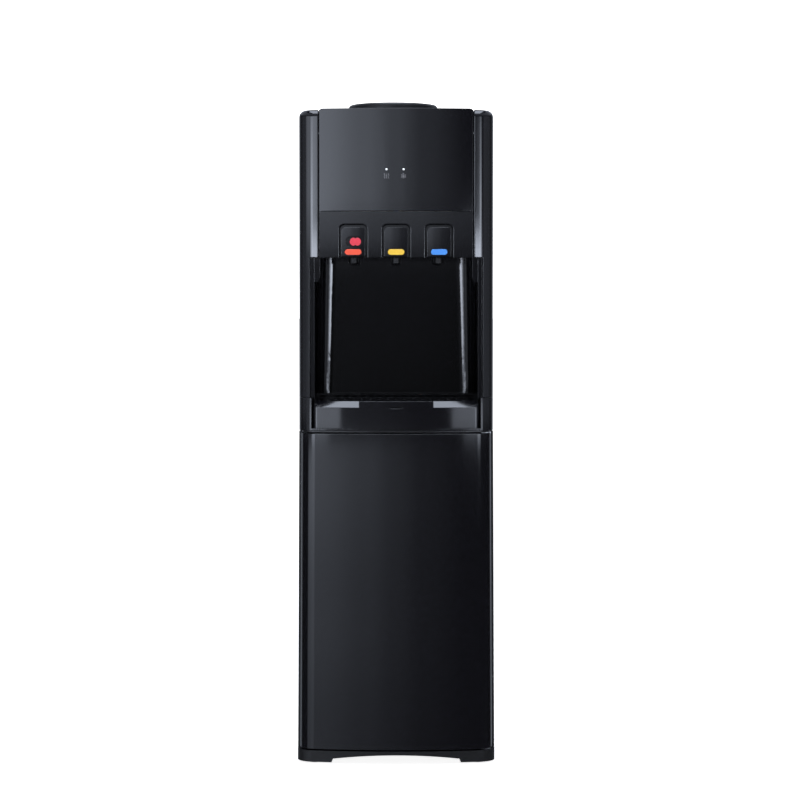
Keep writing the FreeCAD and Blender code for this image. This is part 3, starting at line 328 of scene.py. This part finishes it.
def printed_grey():
    made = Recipe("printed_grey", (0.2, 0.2, 0.22), 0.45)
    made.vary_colour(made.noise(800.0, 4.0), (0.17, 0.17, 0.19), (0.25, 0.25, 0.27))
    made.vary_roughness(made.noise(500.0, 3.0), 0.38, 0.55)
    return made.material


ICON_DROP = 10.5 * MM
ICON_SIZE = 8.6 * MM
STROKE = 0.65 * MM


def lamp_places():
    """Middle of each lamp, from the two ends of the lenses' box."""
    low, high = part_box("lamp_lenses")
    radius = (high.z - low.z) / 2
    height = (low.z + high.z) / 2
    return [(low.x + radius, height), (high.x - radius, height)]


def heat_icon(depth, x, z, material):
    """Three rising wavy lines."""
    paths = []
    steps = 16
    for column in (-1, 0, 1):
        path = []
        for step in range(steps + 1):
            rise = step / steps - 0.5
            px = x + column * ICON_SIZE * 0.36 + math.sin(rise * 3 * math.pi) * ICON_SIZE * 0.09
            pz = z + rise * ICON_SIZE
            path.append((px, depth(px, pz) - STROKE * 0.1, pz))
        paths.append(path)
    strokes("heat_icon", paths, STROKE, material, "housing")


def cool_icon(depth, x, z, material):
    """Six-armed flake with a small fork on each arm."""
    paths = []
    half = ICON_SIZE / 2
    for arm in range(6):
        angle = math.radians(60 * arm + 30)
        ends = [(0.0, 0.0), (half * math.cos(angle), half * math.sin(angle))]
        fork_at = (0.6 * ends[1][0], 0.6 * ends[1][1])
        lines = [ends]
        for turn in (-1, 1):
            lean = angle + turn * math.radians(55)
            tip = (fork_at[0] + 0.32 * half * math.cos(lean), fork_at[1] + 0.32 * half * math.sin(lean))
            lines.append([fork_at, tip])
        for line in lines:
            paths.append([(x + a, depth(x + a, z + b) - STROKE * 0.1, z + b) for a, b in line])
    strokes("cool_icon", paths, STROKE * 0.8, material, "housing")


def add_icons():
    depth = front_surface("fascia")
    grey = printed_grey()
    (heat_x, lamp_z), (cool_x, _) = lamp_places()
    heat_icon(depth, heat_x, lamp_z - ICON_DROP, grey)
    cool_icon(depth, cool_x, lamp_z - ICON_DROP, grey)


# ---- stage --------------------------------------------------------------------------------
LIGHT_COLOUR = (0.79, 0.86, 1.0, 1.0)
LIGHT_DISTANCE = 2.6         # the left softbox, from the machine's axis; the others stand near it
PANEL_STEPS = 40
SOFTBOX_GLOW = 3.2
DOOR_SIDE_GLOW = 1.1
STRIP_GLOW = 15.0
STRIP_SKEW = 1.0             # added to the right strip and taken from the left one
UPPER_STRIP_GLOW = 7.0
LOW_STRIP_GLOW = 5.0
CARD_GLOW = 0.5
REAR_GLOW = 0.55
LOW_FRONT_GLOW = 0.5
HIGH_GLOW = 0.9


class Glow:
    """Emission whose brightness is a product of ramps; what stands behind it shows through."""

    def __init__(self, name, strength):
        self.material = bpy.data.materials.new(name)
        self.material.use_nodes = True
        self.nodes = self.material.node_tree.nodes
        self.links = self.material.node_tree.links
        self.nodes.clear()
        place = self.nodes.new("ShaderNodeTexCoord")
        self.axes = self.nodes.new("ShaderNodeSeparateXYZ")
        self.links.new(place.outputs["Object"], self.axes.inputs[0])
        emitter = self.nodes.new("ShaderNodeEmission")
        emitter.inputs["Color"].default_value = LIGHT_COLOUR
        clear = self.nodes.new("ShaderNodeBsdfTransparent")
        both = self.nodes.new("ShaderNodeAddShader")
        self.links.new(emitter.outputs["Emission"], both.inputs[0])
        self.links.new(clear.outputs["BSDF"], both.inputs[1])
        out = self.nodes.new("ShaderNodeOutputMaterial")
        self.links.new(both.outputs["Shader"], out.inputs["Surface"])
        self.target = emitter.inputs["Strength"]
        self.level = self.math("MULTIPLY", 1.0, strength)

    def math(self, operation, first, second):
        node = self.nodes.new("ShaderNodeMath")
        node.operation = operation
        for socket, value in zip(node.inputs, (first, second)):
            if isinstance(value, (int, float)):
                socket.default_value = value
            else:
                self.links.new(value, socket)
        return node.outputs["Value"]

    def ramp(self, value, stops):
        """Multiplies in a curve given as (position, level) stops."""
        first, last = stops[0][0], stops[-1][0]
        share = self.nodes.new("ShaderNodeMapRange")
        share.inputs["From Min"].default_value = first
        share.inputs["From Max"].default_value = last
        self.links.new(value, share.inputs["Value"])
        ramp = self.nodes.new("ShaderNodeValToRGB")
        ramp.color_ramp.interpolation = "EASE"
        while len(ramp.color_ramp.elements) < len(stops):
            ramp.color_ramp.elements.new(0.5)
        for element, (position, level) in zip(ramp.color_ramp.elements, stops):
            element.position = (position - first) / (last - first)
            element.color = (level, level, level, 1.0)
        self.links.new(share.outputs["Result"], ramp.inputs["Fac"])
        self.level = self.math("MULTIPLY", self.level, ramp.outputs["Color"])

    def done(self):
        self.links.new(self.level, self.target)
        return self.material


def curved_panel(name, distance, strength, angles, heights):
    """A softbox bent round the machine. Angles are degrees right of its front, seen from above."""
    turns = [math.radians(a) for a, _ in angles]
    low, high = heights[0][0], heights[-1][0]
    steps = PANEL_STEPS
    places = []
    for step in range(steps + 1):
        turn = turns[0] + (turns[-1] - turns[0]) * step / steps
        x, y = distance * math.sin(turn), -distance * math.cos(turn)
        places += [(x, y, low), (x, y, high)]
    faces = [(2 * i, 2 * i + 2, 2 * i + 3, 2 * i + 1) for i in range(steps)]
    mesh = bpy.data.meshes.new(name)
    mesh.from_pydata(places, [], faces)
    panel = bpy.data.objects.new(name, mesh)
    bpy.context.scene.collection.objects.link(panel)
    panel.visible_camera = False
    panel.visible_shadow = False
    panel.visible_diffuse = False
    glow = Glow(name, strength)
    forward = glow.math("MULTIPLY", glow.axes.outputs["Y"], -1.0)
    turn = glow.math("ARCTAN2", glow.axes.outputs["X"], forward)
    glow.ramp(turn, [(math.radians(a), level) for a, level in angles])
    glow.ramp(glow.axes.outputs["Z"], heights)
    mesh.materials.append(glow.done())


def both_sides(stops, side):
    """Stops given for the right, mirrored for the left where side is -1."""
    return sorted((side * angle, level) for angle, level in stops)


def add_lights():
    """Panels seen only in reflections. Each takes stops by angle, then stops by height."""
    curved_panel("left_softbox", LIGHT_DISTANCE, SOFTBOX_GLOW,
                 [(-66, 0.35), (-48, 0.65), (-20, 1.1), (-8, 0.66), (0, 0.36), (7, 0.15), (20, 0.0)],
                 [(-1.3, 0.08), (-0.44, 0.15), (-0.09, 0.24), (0.33, 0.38), (0.38, 0.08),
                  (0.82, 0.08), (0.9, 0.65), (1.0, 1.0), (1.4, 0.95), (1.7, 0.0)])
    curved_panel("door_side_softbox", LIGHT_DISTANCE + 0.1, DOOR_SIDE_GLOW,
                 [(-70, 0.0), (-62, 1.0), (-32, 1.0), (-18, 0.0)],
                 [(-1.3, 0.3), (-0.44, 0.4), (-0.09, 0.6), (0.25, 1.15), (0.32, 1.15), (0.36, 0.0)])
    for side in (-1, 1):
        label = "left" if side < 0 else "right"
        curved_panel(label + "_strip", LIGHT_DISTANCE - 0.1, STRIP_GLOW + side * STRIP_SKEW,
                     both_sides([(16, 0.0), (20, 0.9), (26, 1.0), (31, 0.5), (38, 0.1), (44, 0.0)], side),
                     [(0.48, 0.0), (0.56, 0.75), (0.84, 1.0), (0.94, 0.0)])
        curved_panel(label + "_upper_strip", LIGHT_DISTANCE - 0.3, UPPER_STRIP_GLOW,
                     both_sides([(20, 0.0), (24, 0.9), (28, 1.0), (38, 0.0)], side),
                     [(0.84, 0.0), (0.94, 1.0), (1.1, 0.6), (1.3, 0.0)])
        curved_panel(label + "_low_strip", LIGHT_DISTANCE - 0.2, LOW_STRIP_GLOW,
                     both_sides([(18, 0.0), (18.6, 0.5), (25, 0.5), (29, 1.5), (39, 1.3), (46, 0.0)], side),
                     [(0.37, 0.0), (0.385, 1.0), (0.46, 1.0), (0.48, 0.0)])
        curved_panel(label + "_card", LIGHT_DISTANCE + 0.2, CARD_GLOW,
                     both_sides([(40, 0.0), (50, 1.0), (85, 0.7), (110, 0.15), (140, 0.0)], side),
                     [(0.36, 0.0), (0.40, 1.0), (1.5, 1.0), (1.8, 0.0)])
        curved_panel(label + "_rear_fill", LIGHT_DISTANCE + 0.3, REAR_GLOW,
                     both_sides([(118, 0.0), (135, 0.8), (160, 1.0), (180, 1.0)], side),
                     [(-3.0, 0.6), (-0.5, 0.9), (1.2, 1.0), (2.6, 0.6)])
    curved_panel("low_front_fill", LIGHT_DISTANCE + 0.4, LOW_FRONT_GLOW,
                 [(-120, 1.0), (0, 0.9), (120, 1.0)],
                 [(-3.0, 0.8), (-1.0, 1.0), (-0.62, 0.0)])
    curved_panel("high_fill", LIGHT_DISTANCE + 0.5, HIGH_GLOW,
                 [(-180, 1.0), (0, 0.6), (180, 1.0)],
                 [(1.7, 0.0), (2.4, 1.0), (5.0, 1.0)])
    add_overhead()


OVERHEAD_POWER = 60
OVERHEAD_SIZE = 1.6
OVERHEAD_PLACE = (0, -0.5, 2.6)


def add_overhead():
    """Soft light from above, which the tray's bevel and the grille reflect."""
    lamp = bpy.data.lights.new("overhead", "AREA")
    lamp.energy = OVERHEAD_POWER
    lamp.size = OVERHEAD_SIZE
    lamp.color = LIGHT_COLOUR[:3]
    holder = bpy.data.objects.new("overhead", lamp)
    holder.location = OVERHEAD_PLACE
    holder.visible_camera = False
    bpy.context.scene.collection.objects.link(holder)


FLOOR_RADIUS = 60.0
FLOOR_GLOW = 0.9


def add_floor():
    """Plain pale floor, a wide disc with a barely uneven finish and some light of its own."""
    mesh = bpy.data.meshes.new("studio_floor")
    form = bmesh.new()
    bmesh.ops.create_circle(form, cap_ends=True, radius=FLOOR_RADIUS, segments=96)
    form.to_mesh(mesh)
    form.free()
    floor = bpy.data.objects.new("studio_floor", mesh)
    bpy.context.scene.collection.objects.link(floor)
    made = Recipe("pale_floor", (0.9, 0.9, 0.9), 0.9)
    made.vary_colour(made.noise(3.0, 3.0), (0.86, 0.86, 0.86), (0.90, 0.90, 0.90))
    made.shader.inputs["Emission Color"].default_value = (1.0, 1.0, 1.0, 1.0)
    made.shader.inputs["Emission Strength"].default_value = FLOOR_GLOW
    made.shader.inputs["Specular IOR Level"].default_value = 0.0
    mesh.materials.append(made.material)
    floor.visible_glossy = False


AMBIENT = 0.42               # brightness of the surroundings for soft light
DARK = 0.02                  # and in reflections
BACKDROP = 3.0               # and as the camera sees them


def add_world():
    """Plain white behind the machine, soft light around it, and near darkness in reflections."""
    world = bpy.data.worlds.new("studio")
    bpy.context.scene.world = world
    world.use_nodes = True
    nodes, links = world.node_tree.nodes, world.node_tree.links
    nodes.clear()
    rays = nodes.new("ShaderNodeLightPath")
    soft = nodes.new("ShaderNodeMix")
    soft.inputs["A"].default_value = AMBIENT
    soft.inputs["B"].default_value = DARK
    links.new(rays.outputs["Is Glossy Ray"], soft.inputs["Factor"])
    seen = nodes.new("ShaderNodeMix")
    seen.inputs["B"].default_value = BACKDROP
    links.new(rays.outputs["Is Camera Ray"], seen.inputs["Factor"])
    links.new(soft.outputs["Result"], seen.inputs["A"])
    back = nodes.new("ShaderNodeBackground")
    links.new(seen.outputs["Result"], back.inputs["Strength"])
    out = nodes.new("ShaderNodeOutputWorld")
    links.new(back.outputs["Background"], out.inputs["Surface"])


CAMERA_HEIGHT = 0.7405
CAMERA_DISTANCE = 3.5        # from the front corners
CORNER_DEPTH = 0.028         # the front corners stand this far behind the foremost point
LENS = 100.35
SENSOR = 36.0
SHIFT = (0.0048, -0.0367)
AIM_DROP = 2.0               # degrees below level


def add_camera():
    data = bpy.data.cameras.new("camera")
    data.sensor_width = SENSOR
    data.lens = LENS
    data.shift_x, data.shift_y = SHIFT
    camera = bpy.data.objects.new("camera", data)
    front = CAD_BOX[0][1]
    camera.location = (0, front + CORNER_DEPTH - CAMERA_DISTANCE, CAMERA_HEIGHT)
    camera.rotation_euler = (math.radians(90 - AIM_DROP), 0, 0)
    bpy.context.scene.collection.objects.link(camera)
    bpy.context.scene.camera = camera


# ---- making -------------------------------------------------------------------------------
bpy.context.scene.view_settings.view_transform = "Standard"
add_camera()
dress_cad_nodes()
add_icons()
add_floor()
add_lights()
add_world()
